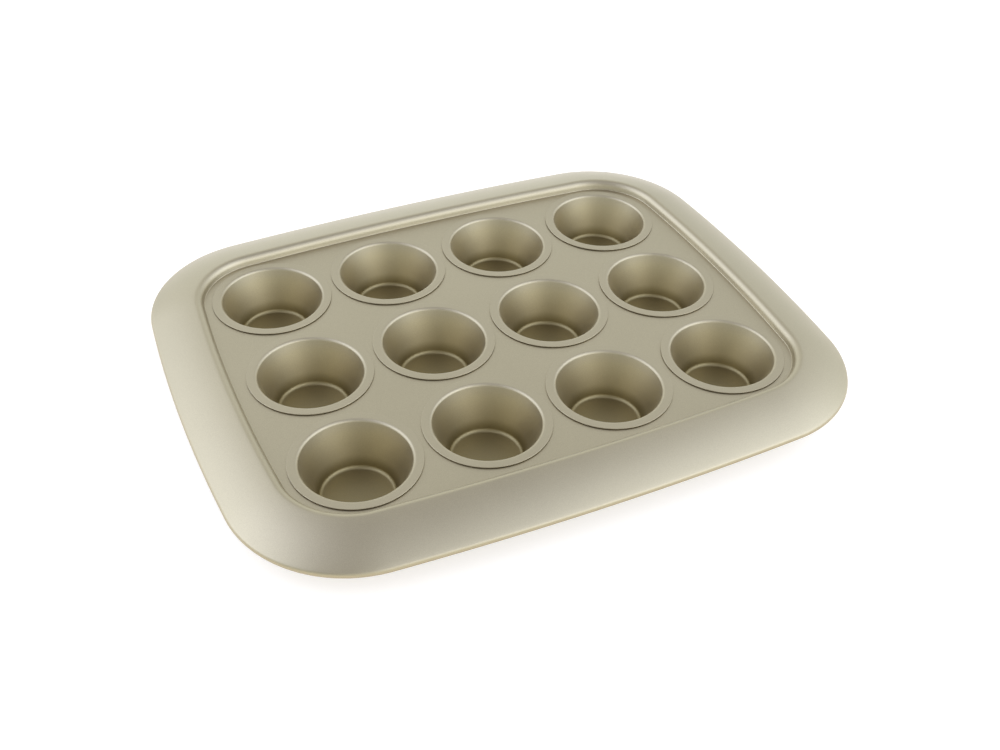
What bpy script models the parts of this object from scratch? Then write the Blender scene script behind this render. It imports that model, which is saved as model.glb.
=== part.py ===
"""Twelve-cup muffin tin: a pressed tray frame, a wire in its rolled rim, and drawn cups set in its holes."""

import math

import bmesh
import bpy
from mathutils.geometry import delaunay_2d_cdt

# Driving dimensions, in metres. The tin stands on its cups: z = 0 is under them, and x runs along the
# longer side. The origin is the middle of the cup grid.
SHEET = 0.0007
GAP = 0.0003

CUP_COLUMNS = 4
CUP_ROWS = 3
COLUMN_PITCH = 0.0868
ROW_PITCH = 0.0882
CUP_MOUTH_RADIUS = 0.0350
CUP_DEPTH = 0.0308
CUP_DRAFT = math.radians(20)
CUP_FLANGE_RADIUS = 0.04144
CUP_LIP_FILLET = 0.0024
CUP_BASE_FILLET = 0.0030
COLLAR_DEPTH = 0.0035
ROUND_STEPS = 28

# The rolled rim's centre line: four shallow arcs, joined by tangent corner arcs.
RIM_HALF_LENGTH = 0.2149
RIM_HALF_WIDTH = 0.1733
LONG_SIDE_RADIUS = 2.406
SHORT_SIDE_RADIUS = 1.223
CORNER_RADIUS = 0.0786
SIDE_SEGMENTS = 2
CORNER_SEGMENTS = 10

# The rim's cross-section, measured outwards from that centre line and up from the deck.
CREST_INSET = 0.0290
LONG_SIDE_EXTRA = 0.0020
CREST_RISE = 0.0058
STEP_TILT = math.radians(72)
STEP_FOOT_FILLET = 0.0005
CREST_FILLET = 0.0050
SHOULDER_TILT = math.radians(10.5)
ROLL_RADIUS = 0.0025
ROLL_DROP = 0.0075
ROLL_START = math.radians(60)
ROLL_SWEEP = math.radians(270)
ROLL_SEGMENTS = 8
WIRE_RADIUS = 0.0015

LIP_HEIGHT = CUP_DEPTH + SHEET
DECK_TOP = LIP_HEIGHT - SHEET - GAP
ROLL_CENTRE = DECK_TOP - ROLL_DROP


def clear_scene():
    for thing in list(bpy.data.objects):
        bpy.data.objects.remove(thing, do_unlink=True)


def make_material(name, colour, metallic, roughness):
    material = bpy.data.materials.new(name)
    material.use_nodes = True
    shader = material.node_tree.nodes["Principled BSDF"]
    shader.inputs["Base Color"].default_value = (*colour, 1.0)
    shader.inputs["Metallic"].default_value = metallic
    shader.inputs["Roughness"].default_value = roughness
    material.diffuse_color = (*colour, 1.0)
    return material


def add_object(name, data, material, collection):
    thing = bpy.data.objects.new(name, data)
    data.materials.append(material)
    collection.objects.link(thing)
    return thing


def thicken(thing):
    """Give an open surface the sheet's thickness, on the side away from its normals."""
    solidify = thing.modifiers.new("sheet", "SOLIDIFY")
    solidify.thickness = SHEET
    solidify.offset = -1.0
    solidify.use_even_offset = True
    solidify.use_quality_normals = True


def arc(centre, radius, start, end, segments):
    """Points of an arc in a flat section, both ends included. Angles are from the outward axis."""
    points = []
    for step in range(segments + 1):
        angle = start + (end - start) * step / segments
        points.append((centre[0] + radius * math.cos(angle), centre[1] + radius * math.sin(angle)))
    return points


# ---------------------------------------------------------------- cups

def fillet_centre(corner_radius_at, level, fillet, side):
    """Centre of a fillet between a level face and the cup's sloping wall.

    The face is at height level, where the wall's line is corner_radius_at from the axis. side is +1 for
    the lip, whose centre is outside and below, and -1 for the base, whose centre is inside and above.
    """
    reach = fillet * math.tan((math.pi / 2 - CUP_DRAFT) / 2)
    return (corner_radius_at + side * reach, level - side * fillet)


def cup_profile():
    """The cup's inner face from the middle of its floor to the edge of its flange."""
    floor = SHEET
    floor_corner = CUP_MOUTH_RADIUS - CUP_DEPTH * math.tan(CUP_DRAFT)
    base = fillet_centre(floor_corner, floor, CUP_BASE_FILLET, -1)
    lip = fillet_centre(CUP_MOUTH_RADIUS, LIP_HEIGHT, CUP_LIP_FILLET, 1)
    quarter = math.pi / 2
    profile = [(0.0, floor)]
    profile += arc(base, CUP_BASE_FILLET, -quarter, -CUP_DRAFT, 2)
    profile += arc(lip, CUP_LIP_FILLET, math.pi - CUP_DRAFT, quarter, 1)
    profile.append((CUP_FLANGE_RADIUS, LIP_HEIGHT))
    return profile


def make_cup_mesh():
    mesh = bpy.data.meshes.new("cup")
    profile = cup_profile()
    edges = [(index, index + 1) for index in range(len(profile) - 1)]
    mesh.from_pydata([(radius, 0.0, height) for radius, height in profile], edges, [])
    return mesh


def add_cup(name, mesh, place, material, collection):
    cup = bpy.data.objects.new(name, mesh)
    if not mesh.materials:
        mesh.materials.append(material)
    collection.objects.link(cup)
    cup.location = (*place, 0.0)
    screw = cup.modifiers.new("turn", "SCREW")
    screw.axis = "Z"
    screw.angle = math.tau
    screw.steps = ROUND_STEPS
    screw.render_steps = ROUND_STEPS
    screw.use_merge_vertices = True
    screw.merge_threshold = 0.00001
    screw.use_smooth_shade = True
    thicken(cup)
    return cup


def cup_places():
    """Row, column and centre of each cup, from the corner at -x, -y."""
    places = []
    for row in range(CUP_ROWS):
        for column in range(CUP_COLUMNS):
            x = (column - (CUP_COLUMNS - 1) / 2) * COLUMN_PITCH
            y = (row - (CUP_ROWS - 1) / 2) * ROW_PITCH
            places.append((row + 1, column + 1, (x, y)))
    return places


# ---------------------------------------------------------------- tray frame

def corner_centre():
    """Centre of the corner arc in the +x, +y quarter, tangent inside both side arcs."""
    long_centre = (0.0, RIM_HALF_WIDTH - LONG_SIDE_RADIUS)
    short_centre = (RIM_HALF_LENGTH - SHORT_SIDE_RADIUS, 0.0)
    long_reach = LONG_SIDE_RADIUS - CORNER_RADIUS
    short_reach = SHORT_SIDE_RADIUS - CORNER_RADIUS
    along = (short_centre[0] - long_centre[0], short_centre[1] - long_centre[1])
    apart = math.hypot(*along)
    unit = (along[0] / apart, along[1] / apart)
    foot = (long_reach ** 2 - short_reach ** 2 + apart ** 2) / (2 * apart)
    rise = math.sqrt(long_reach ** 2 - foot ** 2)
    centre = (long_centre[0] + unit[0] * foot + unit[1] * rise,
              long_centre[1] + unit[1] * foot - unit[0] * rise)
    return centre, long_centre, short_centre


def outline(offset):
    """The rim's centre line moved outwards by offset, as a closed ring; inwards it narrows more across y."""
    corner, long_centre, short_centre = corner_centre()
    first = math.atan2(corner[1] - short_centre[1], corner[0] - short_centre[0])
    last = math.atan2(corner[1] - long_centre[1], corner[0] - long_centre[0])
    quarter = arc(short_centre, SHORT_SIDE_RADIUS + offset, 0.0, first, SIDE_SEGMENTS)
    quarter += arc(corner, CORNER_RADIUS + offset, first, last, CORNER_SEGMENTS)[1:]
    quarter += arc(long_centre, LONG_SIDE_RADIUS + offset, last, math.pi / 2, SIDE_SEGMENTS)[1:]
    narrowing = LONG_SIDE_EXTRA * min(1.0, max(0.0, -offset / CREST_INSET))
    squeeze = 1 - narrowing / (RIM_HALF_WIDTH + offset)
    quarter = [(x, y * squeeze) for x, y in quarter]
    ring = list(quarter)
    ring += [(-x, y) for x, y in reversed(quarter[:-1])]
    ring += [(-x, -y) for x, y in quarter[1:]]
    ring += [(x, -y) for x, y in reversed(quarter[1:-1])]
    return ring


def rim_section():
    """The rim's upper face as (offset, height), from the deck's edge to the end of the roll."""
    quarter = math.pi / 2
    crest = (-CREST_INSET, DECK_TOP + CREST_RISE - CREST_FILLET)
    step_top = (crest[0] - CREST_FILLET * math.sin(STEP_TILT), crest[1] + CREST_FILLET * math.cos(STEP_TILT))
    foot_rise = STEP_FOOT_FILLET * (1 - math.cos(STEP_TILT))
    step_run = (step_top[1] - DECK_TOP - foot_rise) / math.tan(STEP_TILT)
    foot = (step_top[0] - step_run - STEP_FOOT_FILLET * math.sin(STEP_TILT), DECK_TOP + STEP_FOOT_FILLET)
    section = arc(foot, STEP_FOOT_FILLET, -quarter, -quarter + STEP_TILT, 1)
    section += arc(crest, CREST_FILLET, quarter + STEP_TILT, quarter - SHOULDER_TILT, 3)
    roll = (0.0, ROLL_CENTRE)
    curl = arc(roll, ROLL_RADIUS, ROLL_START, ROLL_START - ROLL_SWEEP, ROLL_SEGMENTS)
    section += shoulder(section[-1], curl[0], 3)
    return section + curl


def shoulder(start, end, segments):
    """Points between start and end of the rim's broad convex arc, tangent to the roll at its end."""
    chord = math.atan2(start[1] - end[1], end[0] - start[0])
    half = math.pi / 2 - ROLL_START - chord
    radius = math.dist(start, end) / (2 * math.sin(half))
    centre = (end[0] - radius * math.cos(ROLL_START), end[1] - radius * math.sin(ROLL_START))
    return arc(centre, radius, ROLL_START + 2 * half, ROLL_START, segments)[1:-1]


def collar_section():
    """The face of a hole's collar as (radius, height): round the deck's edge, then down along the cup."""
    lip = fillet_centre(CUP_MOUTH_RADIUS, LIP_HEIGHT, CUP_LIP_FILLET, 1)
    bend = CUP_LIP_FILLET - SHEET - GAP
    section = arc(lip, bend, math.pi / 2, math.pi - CUP_DRAFT, 1)
    bottom = section[-1][1] - COLLAR_DEPTH
    section.append((section[-1][0] - COLLAR_DEPTH * math.tan(CUP_DRAFT), bottom))
    return section


def add_ring(mesh, points, height):
    return [mesh.verts.new((x, y, height)) for x, y in points]


def join_rings(mesh, first, second):
    for index in range(len(first)):
        after = (index + 1) % len(first)
        mesh.faces.new((first[index], first[after], second[after], second[index]))


def fill_deck(mesh, border, holes):
    """Fill the level deck between its border and the holes with well-shaped triangles."""
    corners = []
    owners = []
    edges = []
    for ring in [border, *holes]:
        first = len(corners)
        corners += ring
        owners += [ring] * len(ring)
        edges += [(first + index, first + (index + 1) % len(ring)) for index in range(len(ring))]
    filled = delaunay_2d_cdt([corner.co.to_2d() for corner in corners], edges, [], 0, 0.000001)
    triangles, sources = filled[2], filled[3]
    for triangle in triangles:
        ends = [sources[index][0] for index in triangle]
        inside_hole = any(all(owners[end] is hole for end in ends) for hole in holes)
        if not inside_hole:
            mesh.faces.new([corners[end] for end in ends])


def circle(place, radius):
    points = []
    for step in range(ROUND_STEPS):
        angle = math.tau * step / ROUND_STEPS
        points.append((place[0] + radius * math.cos(angle), place[1] + radius * math.sin(angle)))
    return points


def make_frame_mesh():
    """The frame's upper face: a level deck with collared holes, and the rim lofted round it."""
    work = bmesh.new()
    rings = [add_ring(work, outline(offset), height) for offset, height in rim_section()]
    for inner, outer in zip(rings, rings[1:]):
        join_rings(work, outer, inner)
    holes = []
    for _, _, place in cup_places():
        collar = [add_ring(work, circle(place, radius), height) for radius, height in collar_section()]
        for upper, lower in zip(collar, collar[1:]):
            join_rings(work, upper, lower)
        holes.append(collar[0])
    fill_deck(work, rings[0], holes)
    bmesh.ops.recalc_face_normals(work, faces=work.faces)
    work.faces.ensure_lookup_table()
    deck_face = next(face for face in work.faces if len(face.verts) == 3)
    if deck_face.normal.z < 0:
        bmesh.ops.reverse_faces(work, faces=work.faces)
    mesh = bpy.data.meshes.new("tray_frame")
    work.to_mesh(mesh)
    work.free()
    mesh.shade_smooth()
    return mesh


def add_tray_frame(material, collection):
    frame = add_object("tray_frame", make_frame_mesh(), material, collection)
    thicken(frame)
    return frame


def add_rim_wire(material, collection):
    """The steel wire that the rim is rolled round."""
    curve = bpy.data.curves.new("rim_wire", "CURVE")
    curve.dimensions = "3D"
    curve.bevel_depth = WIRE_RADIUS
    curve.bevel_resolution = 2
    points = outline(0.0)
    spline = curve.splines.new("POLY")
    spline.points.add(len(points) - 1)
    for point, (x, y) in zip(spline.points, points):
        point.co = (x, y, ROLL_CENTRE, 1.0)
    spline.use_cyclic_u = True
    return add_object("rim_wire", curve, material, collection)


def main():
    clear_scene()
    parts = bpy.data.collections.new("muffin_tin")
    bpy.context.scene.collection.children.link(parts)
    tray_coating = make_material("tray_coating", (0.42, 0.36, 0.25), 0.85, 0.35)
    cup_coating = make_material("cup_coating", (0.40, 0.34, 0.23), 0.85, 0.32)
    steel = make_material("steel_wire", (0.55, 0.54, 0.52), 1.0, 0.4)
    add_tray_frame(tray_coating, parts)
    add_rim_wire(steel, parts)
    cup_mesh = make_cup_mesh()
    for row, column, place in cup_places():
        add_cup(f"cup_row{row}_column{column}", cup_mesh, place, cup_coating, parts)


main()
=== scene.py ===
"""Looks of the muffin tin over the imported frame: fine surfaces, coating, floor, light and camera."""

import math

import bmesh
import bpy
from mathutils import Euler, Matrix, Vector
from mathutils.geometry import delaunay_2d_cdt


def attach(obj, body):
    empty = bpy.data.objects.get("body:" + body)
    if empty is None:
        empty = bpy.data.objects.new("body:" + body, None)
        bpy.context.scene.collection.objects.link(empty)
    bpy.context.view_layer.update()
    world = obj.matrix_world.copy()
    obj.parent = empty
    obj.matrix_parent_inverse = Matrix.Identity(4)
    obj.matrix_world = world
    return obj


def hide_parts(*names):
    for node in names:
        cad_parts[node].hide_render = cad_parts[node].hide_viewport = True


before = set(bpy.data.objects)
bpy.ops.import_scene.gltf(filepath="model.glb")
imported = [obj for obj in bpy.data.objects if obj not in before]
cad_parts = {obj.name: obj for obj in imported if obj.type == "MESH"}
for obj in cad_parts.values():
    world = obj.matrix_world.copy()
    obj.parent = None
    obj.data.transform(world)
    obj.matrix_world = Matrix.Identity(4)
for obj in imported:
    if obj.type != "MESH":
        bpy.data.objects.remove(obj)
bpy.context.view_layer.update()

# Driving dimensions in metres. z = 0 is under the cups, and x runs along the longer side.
SHEET = 0.0007
GAP = 0.0003
CUP_COLUMNS = 4
CUP_ROWS = 3
COLUMN_PITCH = 0.0868
ROW_PITCH = 0.0882
CUP_MOUTH_RADIUS = 0.0350
CUP_DEPTH = 0.0308
CUP_DRAFT = math.radians(20)
CUP_FLANGE_RADIUS = 0.04144
CUP_LIP_FILLET = 0.0024
CUP_BASE_FILLET = 0.0030
COLLAR_DEPTH = 0.0035
FLANGE_EDGE_ROUND = 0.00025

RIM_HALF_LENGTH = 0.2149
RIM_HALF_WIDTH = 0.1733
LONG_SIDE_RADIUS = 2.406
SHORT_SIDE_RADIUS = 1.223
CORNER_RADIUS = 0.0786
CREST_INSET = 0.0290
LONG_SIDE_EXTRA = 0.0020
CREST_RISE = 0.0058
STEP_TILT = math.radians(72)
STEP_FOOT_FILLET = 0.0005
CREST_FILLET = 0.0050
SHOULDER_TILT = math.radians(10.5)
ROLL_RADIUS = 0.0025
ROLL_DROP = 0.0075
ROLL_START = math.radians(60)
ROLL_SWEEP = math.radians(270)
WIRE_RADIUS = 0.0015

LIP_HEIGHT = CUP_DEPTH + SHEET
DECK_TOP = LIP_HEIGHT - SHEET - GAP
ROLL_CENTRE = DECK_TOP - ROLL_DROP
QUARTER = math.pi / 2

# Coating: metallic flakes, soft clouding, orange peel and the sheet's slow waves. Scales are blotches to
# the metre, shades multiply the colour, and heights are metres.
COATING_COLOUR = (0.39, 0.33, 0.205)
# Painted light and shade inside the cups: the walls are painted lighter and the floor darker than the
# coating, standing in for how light falls in the hollow.
CUP_WALL_PAINTED_LIGHT_COLOUR = (0.42, 0.35, 0.20)
CUP_FLOOR_PAINTED_SHADE_COLOUR = (0.24, 0.19, 0.085)
COATING_ROUGHNESS = (0.40, 0.44)
CUP_ROUGHNESS = (0.43, 0.47)
CLEAR_COAT_WEIGHT = 0.25
CLEAR_COAT_ROUGHNESS = 0.3
FLAKE_SCALE = 2600
FLAKE_SHADES = (0.90, 1.10)
CLOUD_SCALE = 14
CLOUD_SHADES = (0.98, 1.02)
PEEL_SCALE = 700
PEEL_HEIGHT = 0.00004
PEEL_STRENGTH = 0.25
WAVE_SCALE = 22
WAVE_HEIGHT = 0.0004
WAVE_STRENGTH = 0.3

# Heights between which the cup's colour turns into its wall's painted-light colour, and lower down into its
# floor's painted-shade colour.
CUP_WALL_PAINTED_LIGHT_BLEND = (0.022, 0.031)
CUP_FLOOR_PAINTED_SHADE_BLEND = (0.002, 0.010)

STEEL_COLOUR = (0.55, 0.54, 0.52)
STEEL_ROUGHNESS = 0.35
FLOOR_SIZE = 12.0
FLOOR_COLOUR = (0.64, 0.58, 0.48)
FLOOR_ROUGHNESS = 0.9
FLOOR_GLOW = 0.56

# Fineness of the finished meshes.
CUP_STEPS = 128
FILLET_SEGMENTS = 10
UNDER_LIP_SEGMENTS = 6
EDGE_SEGMENTS = 4
COLLAR_SEGMENTS = 4
HOLE_STEPS = 96
SIDE_SEGMENTS = 12
CORNER_SEGMENTS = 28
FOOT_SEGMENTS = 6
CREST_SEGMENTS = 14
SHOULDER_SEGMENTS = 16
ROLL_SEGMENTS = 32
WIRE_RESOLUTION = 4
MERGE_DISTANCE = 0.000001
# A strip this wide beside a fillet keeps its shading off the flat.
GUARD = 0.00025


def arc(centre, radius, start, end, segments):
    """Points of an arc in a flat section, both ends included."""
    points = []
    for step in range(segments + 1):
        angle = start + (end - start) * step / segments
        points.append((centre[0] + radius * math.cos(angle), centre[1] + radius * math.sin(angle)))
    return points


def cup_places():
    """Row, column and centre of each cup, from the corner at -x, -y."""
    places = []
    for row in range(CUP_ROWS):
        for column in range(CUP_COLUMNS):
            x = (column - (CUP_COLUMNS - 1) / 2) * COLUMN_PITCH
            y = (row - (CUP_ROWS - 1) / 2) * ROW_PITCH
            places.append((row + 1, column + 1, (x, y)))
    return places


# ---------------------------------------------------------------- cups

def fillet_centre(corner_radius_at, level, fillet, side):
    """Centre of a fillet between a level face and the cup's sloping wall."""
    reach = fillet * math.tan((QUARTER - CUP_DRAFT) / 2)
    return (corner_radius_at + side * reach, level - side * fillet)


def cup_section():
    """Closed outline of the cup's sheet: up its inner face, over the flange's edge, and back underneath."""
    floor_corner = CUP_MOUTH_RADIUS - CUP_DEPTH * math.tan(CUP_DRAFT)
    base = fillet_centre(floor_corner, SHEET, CUP_BASE_FILLET, -1)
    lip = fillet_centre(CUP_MOUTH_RADIUS, LIP_HEIGHT, CUP_LIP_FILLET, 1)
    edge = CUP_FLANGE_RADIUS - FLANGE_EDGE_ROUND
    section = [(0.0, SHEET), (base[0] - GUARD, SHEET)]
    section += arc(base, CUP_BASE_FILLET, -QUARTER, -CUP_DRAFT, FILLET_SEGMENTS)
    section += arc(lip, CUP_LIP_FILLET, math.pi - CUP_DRAFT, QUARTER, FILLET_SEGMENTS)
    section += [(lip[0] + GUARD, LIP_HEIGHT), (edge - GUARD, LIP_HEIGHT)]
    upper = (edge, LIP_HEIGHT - FLANGE_EDGE_ROUND)
    lower = (edge, LIP_HEIGHT - SHEET + FLANGE_EDGE_ROUND)
    section += arc(upper, FLANGE_EDGE_ROUND, QUARTER, 0.0, EDGE_SEGMENTS)
    section += arc(lower, FLANGE_EDGE_ROUND, 0.0, -QUARTER, EDGE_SEGMENTS)
    section += [(edge - GUARD, LIP_HEIGHT - SHEET), (lip[0] + GUARD, LIP_HEIGHT - SHEET)]
    section += arc(lip, CUP_LIP_FILLET - SHEET, QUARTER, math.pi - CUP_DRAFT, UNDER_LIP_SEGMENTS)
    section += arc(base, CUP_BASE_FILLET + SHEET, -CUP_DRAFT, -QUARTER, FILLET_SEGMENTS)
    section += [(base[0] - GUARD, 0.0), (0.0, 0.0)]
    return section


def make_cup(name, place):
    """One drawn cup, turned from its section, with its place in its mesh."""
    section = cup_section()
    work = bmesh.new()
    points = [work.verts.new((radius, 0.0, height)) for radius, height in section]
    line = [work.edges.new(pair) for pair in zip(points, points[1:])]
    bmesh.ops.spin(work, geom=points + line, cent=(0, 0, 0), axis=(0, 0, 1), angle=math.tau,
                   steps=CUP_STEPS, use_merge=True)
    bmesh.ops.remove_doubles(work, verts=work.verts, dist=MERGE_DISTANCE)
    bmesh.ops.recalc_face_normals(work, faces=work.faces)
    bmesh.ops.translate(work, verts=work.verts, vec=(*place, 0.0))
    return finished(name, work)


def finished(name, work):
    """A smooth-shaded object in the scene, made from the worked mesh."""
    mesh = bpy.data.meshes.new(name)
    work.to_mesh(mesh)
    work.free()
    mesh.shade_smooth()
    piece = bpy.data.objects.new(name, mesh)
    bpy.context.scene.collection.objects.link(piece)
    return piece


# ---------------------------------------------------------------- tray

def corner_centre():
    """Centre of the corner arc in the +x, +y quarter, tangent inside both side arcs."""
    long_centre = (0.0, RIM_HALF_WIDTH - LONG_SIDE_RADIUS)
    short_centre = (RIM_HALF_LENGTH - SHORT_SIDE_RADIUS, 0.0)
    long_reach = LONG_SIDE_RADIUS - CORNER_RADIUS
    short_reach = SHORT_SIDE_RADIUS - CORNER_RADIUS
    along = (short_centre[0] - long_centre[0], short_centre[1] - long_centre[1])
    apart = math.hypot(*along)
    unit = (along[0] / apart, along[1] / apart)
    foot = (long_reach ** 2 - short_reach ** 2 + apart ** 2) / (2 * apart)
    rise = math.sqrt(long_reach ** 2 - foot ** 2)
    centre = (long_centre[0] + unit[0] * foot + unit[1] * rise,
              long_centre[1] + unit[1] * foot - unit[0] * rise)
    return centre, long_centre, short_centre


def outline(offset):
    """The rim's centre line moved outwards by offset, as a closed ring; inwards it narrows more across y."""
    corner, long_centre, short_centre = corner_centre()
    first = math.atan2(corner[1] - short_centre[1], corner[0] - short_centre[0])
    last = math.atan2(corner[1] - long_centre[1], corner[0] - long_centre[0])
    quarter = arc(short_centre, SHORT_SIDE_RADIUS + offset, 0.0, first, SIDE_SEGMENTS)
    quarter += arc(corner, CORNER_RADIUS + offset, first, last, CORNER_SEGMENTS)[1:]
    quarter += arc(long_centre, LONG_SIDE_RADIUS + offset, last, QUARTER, SIDE_SEGMENTS)[1:]
    narrowing = LONG_SIDE_EXTRA * min(1.0, max(0.0, -offset / CREST_INSET))
    squeeze = 1 - narrowing / (RIM_HALF_WIDTH + offset)
    quarter = [(x, y * squeeze) for x, y in quarter]
    ring = list(quarter)
    ring += [(-x, y) for x, y in reversed(quarter[:-1])]
    ring += [(-x, -y) for x, y in quarter[1:]]
    ring += [(x, -y) for x, y in reversed(quarter[1:-1])]
    return ring


def rim_section():
    """The rim's upper face as (offset, height), from the deck's edge to the end of the roll."""
    crest = (-CREST_INSET, DECK_TOP + CREST_RISE - CREST_FILLET)
    step_top = (crest[0] - CREST_FILLET * math.sin(STEP_TILT), crest[1] + CREST_FILLET * math.cos(STEP_TILT))
    foot_rise = STEP_FOOT_FILLET * (1 - math.cos(STEP_TILT))
    step_run = (step_top[1] - DECK_TOP - foot_rise) / math.tan(STEP_TILT)
    foot = (step_top[0] - step_run - STEP_FOOT_FILLET * math.sin(STEP_TILT), DECK_TOP + STEP_FOOT_FILLET)
    section = [(foot[0] - GUARD, DECK_TOP)]
    section += arc(foot, STEP_FOOT_FILLET, -QUARTER, -QUARTER + STEP_TILT, FOOT_SEGMENTS)
    section += arc(crest, CREST_FILLET, QUARTER + STEP_TILT, QUARTER - SHOULDER_TILT, CREST_SEGMENTS)
    curl = arc((0.0, ROLL_CENTRE), ROLL_RADIUS, ROLL_START, ROLL_START - ROLL_SWEEP, ROLL_SEGMENTS)
    section += shoulder(section[-1], curl[0], SHOULDER_SEGMENTS)
    return section + curl


def shoulder(start, end, segments):
    """Points between start and end of the rim's broad convex arc, tangent to the roll at its end."""
    chord = math.atan2(start[1] - end[1], end[0] - start[0])
    half = QUARTER - ROLL_START - chord
    radius = math.dist(start, end) / (2 * math.sin(half))
    centre = (end[0] - radius * math.cos(ROLL_START), end[1] - radius * math.sin(ROLL_START))
    return arc(centre, radius, ROLL_START + 2 * half, ROLL_START, segments)[1:-1]


def collar_section():
    """The face of a hole's collar as (radius, height): round the deck's edge, then down along the cup."""
    lip = fillet_centre(CUP_MOUTH_RADIUS, LIP_HEIGHT, CUP_LIP_FILLET, 1)
    bend = CUP_LIP_FILLET - SHEET - GAP
    section = [(lip[0] + GUARD, DECK_TOP)]
    section += arc(lip, bend, QUARTER, math.pi - CUP_DRAFT, COLLAR_SEGMENTS)
    end = section[-1]
    section.append((end[0] - COLLAR_DEPTH * math.tan(CUP_DRAFT), end[1] - COLLAR_DEPTH))
    return section


def add_ring(work, points, height):
    """The points as mesh corners at one height."""
    return [work.verts.new((x, y, height)) for x, y in points]


def join_rings(work, first, second):
    """A band of four-sided faces between two rings of as many corners."""
    for index in range(len(first)):
        after = (index + 1) % len(first)
        work.faces.new((first[index], first[after], second[after], second[index]))


def circle(place, radius):
    """Points of a cup's hole at the given radius."""
    points = []
    for step in range(HOLE_STEPS):
        angle = math.tau * step / HOLE_STEPS
        points.append((place[0] + radius * math.cos(angle), place[1] + radius * math.sin(angle)))
    return points


def fill_deck(work, border, holes):
    """Fill the level deck between its border and the holes with well-shaped triangles."""
    corners = []
    owners = []
    edges = []
    for ring in [border, *holes]:
        first = len(corners)
        corners += ring
        owners += [ring] * len(ring)
        edges += [(first + index, first + (index + 1) % len(ring)) for index in range(len(ring))]
    filled = delaunay_2d_cdt([corner.co.to_2d() for corner in corners], edges, [], 0, MERGE_DISTANCE)
    triangles, sources = filled[2], filled[3]
    for triangle in triangles:
        ends = [sources[index][0] for index in triangle]
        inside_hole = any(all(owners[end] is hole for end in ends) for hole in holes)
        if not inside_hole:
            work.faces.new([corners[end] for end in ends])


def make_tray():
    """The pressed tray: deck, collars, step, broad rim and roll in one sheet."""
    work = bmesh.new()
    rings = [add_ring(work, outline(offset), height) for offset, height in rim_section()]
    for inner, outer in zip(rings, rings[1:]):
        join_rings(work, outer, inner)
    holes = []
    for _, _, place in cup_places():
        collar = [add_ring(work, circle(place, radius), height) for radius, height in collar_section()]
        for upper, lower in zip(collar, collar[1:]):
            join_rings(work, upper, lower)
        holes.append(collar[0])
    fill_deck(work, rings[0], holes)
    bmesh.ops.recalc_face_normals(work, faces=work.faces)
    # Only the deck is filled with triangles, and its face side is up.
    deck_face = next(face for face in work.faces if len(face.verts) == 3)
    if deck_face.normal.z < 0:
        bmesh.ops.reverse_faces(work, faces=work.faces)
    tray = finished("tray", work)
    solidify = tray.modifiers.new("sheet", "SOLIDIFY")
    solidify.thickness = SHEET
    solidify.offset = -1.0
    solidify.use_even_offset = True
    return tray


def make_wire():
    """The steel wire that the rim is rolled round."""
    curve = bpy.data.curves.new("wire", "CURVE")
    curve.dimensions = "3D"
    curve.bevel_depth = WIRE_RADIUS
    curve.bevel_resolution = WIRE_RESOLUTION
    points = outline(0.0)
    spline = curve.splines.new("POLY")
    spline.points.add(len(points) - 1)
    for point, (x, y) in zip(spline.points, points):
        point.co = (x, y, ROLL_CENTRE, 1.0)
    spline.use_cyclic_u = True
    wire = bpy.data.objects.new("wire", curve)
    bpy.context.scene.collection.objects.link(wire)
    return wire


# ---------------------------------------------------------------- materials

def node(tree, kind, **values):
    """A node with its named input sockets or its properties set."""
    made = tree.nodes.new(kind)
    for key, value in values.items():
        if key in made.inputs:
            made.inputs[key].default_value = value
        else:
            setattr(made, key, value)
    return made


def feed(tree, socket, value):
    """Link the value into the socket if it is another node's output, and set it there if not."""
    if isinstance(value, bpy.types.NodeSocket):
        tree.links.new(value, socket)
    else:
        socket.default_value = value


def noise(tree, place, scale, detail):
    """Noise from 0 to 1 over the metal, at so many blotches to the metre."""
    made = node(tree, "ShaderNodeTexNoise", Scale=scale, Detail=detail)
    tree.links.new(place, made.inputs["Vector"])
    return made.outputs["Fac"]


def ranged(tree, value, span, result, interpolation="LINEAR"):
    """The value taken from one range to another, and held at its ends."""
    made = node(tree, "ShaderNodeMapRange", interpolation_type=interpolation)
    made.inputs["From Min"].default_value, made.inputs["From Max"].default_value = span
    made.inputs["To Min"].default_value, made.inputs["To Max"].default_value = result
    tree.links.new(value, made.inputs["Value"])
    return made.outputs["Result"]


def blended(tree, amount, first, second):
    """The first colour turning into the second as the amount rises."""
    made = node(tree, "ShaderNodeMix", data_type="VECTOR")
    sockets = [socket for socket in made.inputs if socket.type == "VECTOR" and socket.name in "AB"]
    tree.links.new(amount, made.inputs["Factor"])
    for socket, colour in zip(sockets, (first, second)):
        feed(tree, socket, colour)
    return next(socket for socket in made.outputs if socket.type == "VECTOR")


def scaled(tree, colour, amount):
    """The colour made stronger or weaker by the amount."""
    made = node(tree, "ShaderNodeVectorMath", operation="SCALE")
    feed(tree, made.inputs["Vector"], colour)
    tree.links.new(amount, made.inputs["Scale"])
    return made.outputs["Vector"]


def bumped(tree, height, strength, distance, below=None):
    """The surface's slope with a relief on it, over another relief if there is one below."""
    made = node(tree, "ShaderNodeBump", Strength=strength, Distance=distance)
    tree.links.new(height, made.inputs["Height"])
    if below:
        tree.links.new(below, made.inputs["Normal"])
    return made.outputs["Normal"]


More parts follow.
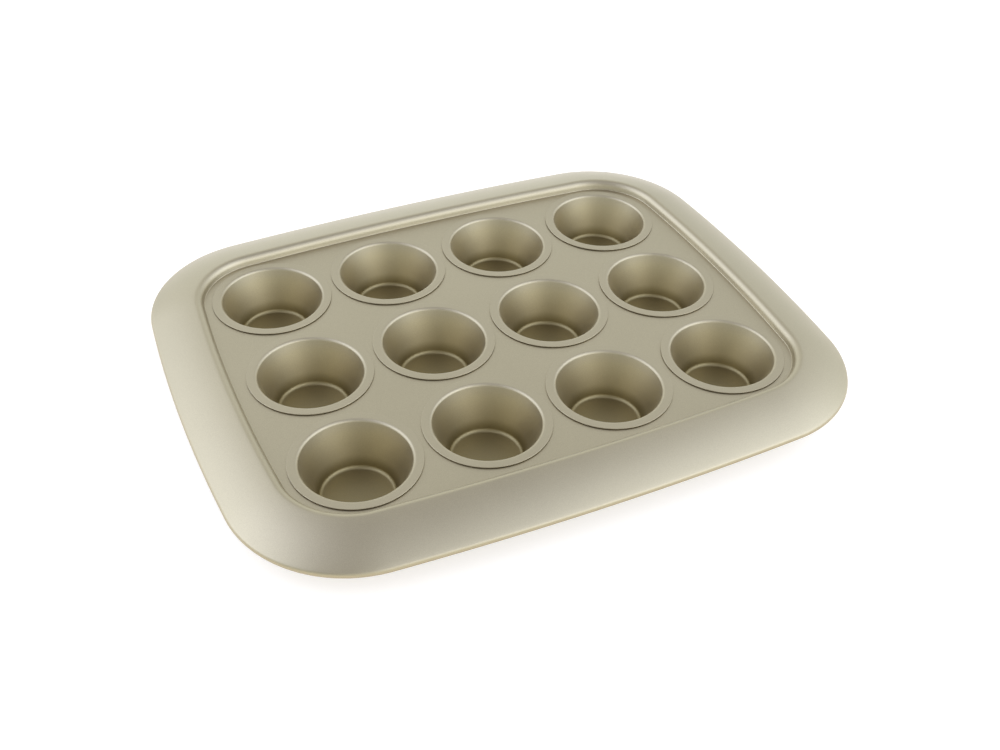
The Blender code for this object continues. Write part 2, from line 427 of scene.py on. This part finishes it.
def coating(name, colour, roughness, depths=()):
    """Satin champagne coating with a metallic grain. Depths are lower colours with their blend heights; in
    the cups they paint light on the walls and shade on the floor.
    """
    material = bpy.data.materials.new(name)
    material.use_nodes = True
    tree = material.node_tree
    shader = tree.nodes["Principled BSDF"]
    shader.inputs["Metallic"].default_value = 1.0
    shader.inputs["Coat Weight"].default_value = CLEAR_COAT_WEIGHT
    shader.inputs["Coat Roughness"].default_value = CLEAR_COAT_ROUGHNESS
    place = node(tree, "ShaderNodeTexCoord").outputs["Object"]
    tint = colour
    if depths:
        height = node(tree, "ShaderNodeSeparateXYZ")
        tree.links.new(place, height.inputs["Vector"])
        # Painted light and shade by height: the cup's colour turns lighter on the wall and darker on the
        # floor.
        for span, lower in depths:
            amount = ranged(tree, height.outputs["Z"], span, (1.0, 0.0), "SMOOTHSTEP")
            tint = blended(tree, amount, tint, lower)
    flakes = ranged(tree, noise(tree, place, FLAKE_SCALE, 2), (0.25, 0.75), FLAKE_SHADES)
    clouds = ranged(tree, noise(tree, place, CLOUD_SCALE, 3), (0.3, 0.7), CLOUD_SHADES)
    for shade in (flakes, clouds):
        tint = scaled(tree, tint, shade)
    tree.links.new(tint, shader.inputs["Base Color"])
    rough = ranged(tree, noise(tree, place, CLOUD_SCALE, 4), (0.3, 0.7), roughness)
    tree.links.new(rough, shader.inputs["Roughness"])
    waves = bumped(tree, noise(tree, place, WAVE_SCALE, 1), WAVE_STRENGTH, WAVE_HEIGHT)
    peel = bumped(tree, noise(tree, place, PEEL_SCALE, 2), PEEL_STRENGTH, PEEL_HEIGHT, waves)
    tree.links.new(peel, shader.inputs["Normal"])
    return material


def plain(name, colour, roughness, metallic=0.0, glow=0.0):
    """An even material, with a white glow if it has one."""
    material = bpy.data.materials.new(name)
    material.use_nodes = True
    shader = material.node_tree.nodes["Principled BSDF"]
    shader.inputs["Base Color"].default_value = (*colour, 1.0)
    shader.inputs["Metallic"].default_value = metallic
    shader.inputs["Roughness"].default_value = roughness
    shader.inputs["Emission Color"].default_value = (1, 1, 1, 1)
    shader.inputs["Emission Strength"].default_value = glow
    return material


# ---------------------------------------------------------------- stage

# Place in metres, turn in degrees and lens in millimetres.
CAMERA_PLACE = (-0.27571, -0.58560, 0.53593)
CAMERA_TURN = (49.621, -1.400, -24.580)
CAMERA_LENS = 42.864
CAMERA_SENSOR = 36.0
CAMERA_NEAREST = 0.01


def add_camera():
    """The scene's camera, looking down across the tray from the front left."""
    data = bpy.data.cameras.new("camera")
    data.lens = CAMERA_LENS
    data.sensor_width = CAMERA_SENSOR
    data.clip_start = CAMERA_NEAREST
    camera = bpy.data.objects.new("camera", data)
    camera.location = CAMERA_PLACE
    camera.rotation_euler = [math.radians(angle) for angle in CAMERA_TURN]
    bpy.context.scene.collection.objects.link(camera)
    bpy.context.scene.camera = camera


def add_floor():
    """The white floor that the tray stands on."""
    bpy.ops.mesh.primitive_plane_add(size=FLOOR_SIZE, location=(0, 0, 0))
    floor = bpy.context.object
    floor.name = "floor"
    floor.data.materials.append(plain("floor_white", FLOOR_COLOUR, FLOOR_ROUGHNESS, glow=FLOOR_GLOW))


# Soft lights far around the tray: compass angle from +x, height and half width in degrees, then strength.
SOFT_LIGHTS = (
    (150, 40, 45, (1.70, 1.95, 2.75)),
    (-40, 40, 45, (1.15, 1.35, 1.90)),
    (75, 30, 40, (0.45, 0.50, 0.55)),
    (-70, 30, 40, (0.80, 0.85, 0.95)),
    (-5, 40, 45, (0.65, 0.75, 1.00)),
)
ROOM_STRENGTH = (0.43, 0.43, 0.50)
HORIZON_STRENGTH = (0.66, 0.76, 0.78)


def add_light():
    """An evenly lit room, brighter towards the horizon, with a few large soft lights."""
    world = bpy.data.worlds.new("studio")
    world.use_nodes = True
    tree = world.node_tree
    direction = node(tree, "ShaderNodeTexCoord").outputs["Generated"]
    height = node(tree, "ShaderNodeSeparateXYZ")
    tree.links.new(direction, height.inputs["Vector"])
    low = ranged(tree, height.outputs["Z"], (1.0, 0.0), (0.0, 1.0), "SMOOTHSTEP")
    parts = [scaled(tree, HORIZON_STRENGTH, low)]
    for compass, rise, width, strength in SOFT_LIGHTS:
        axis = Vector((math.cos(math.radians(rise)), 0, math.sin(math.radians(rise))))
        axis.rotate(Euler((0, 0, math.radians(compass))))
        toward = node(tree, "ShaderNodeVectorMath", operation="DOT_PRODUCT")
        tree.links.new(direction, toward.inputs[0])
        toward.inputs[1].default_value = axis
        span = (math.cos(math.radians(width)), 1.0)
        near = ranged(tree, toward.outputs["Value"], span, (0.0, 1.0), "SMOOTHSTEP")
        parts.append(scaled(tree, strength, near))
    total = ROOM_STRENGTH
    for part in parts:
        add = node(tree, "ShaderNodeVectorMath", operation="ADD")
        tree.links.new(part, add.inputs[0])
        feed(tree, add.inputs[1], total)
        total = add.outputs["Vector"]
    tree.links.new(total, tree.nodes["Background"].inputs["Color"])
    bpy.context.scene.world = world


def main():
    """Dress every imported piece, then set the stage."""
    bpy.context.scene.view_settings.view_transform = "Standard"
    tray_coating = coating("tray_coating", COATING_COLOUR, COATING_ROUGHNESS)
    # The cups' coating carries painted light on the walls and painted shade on the floor.
    cup_coating = coating("cup_coating", COATING_COLOUR, CUP_ROUGHNESS,
                          ((CUP_WALL_PAINTED_LIGHT_BLEND, CUP_WALL_PAINTED_LIGHT_COLOUR), (CUP_FLOOR_PAINTED_SHADE_BLEND, CUP_FLOOR_PAINTED_SHADE_COLOUR)))
    steel = plain("steel_wire", STEEL_COLOUR, STEEL_ROUGHNESS, metallic=1.0)
    tray = make_tray()
    tray.data.materials.append(tray_coating)
    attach(tray, "root")
    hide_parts("tray_frame")
    wire = make_wire()
    wire.data.materials.append(steel)
    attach(wire, "root")
    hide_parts("rim_wire")
    for row, column, place in cup_places():
        cup = make_cup(f"cup_{row}_{column}", place)
        cup.data.materials.append(cup_coating)
        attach(cup, "root")
        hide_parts(f"cup_row{row}_column{column}")
    add_camera()
    add_floor()
    add_light()


main()
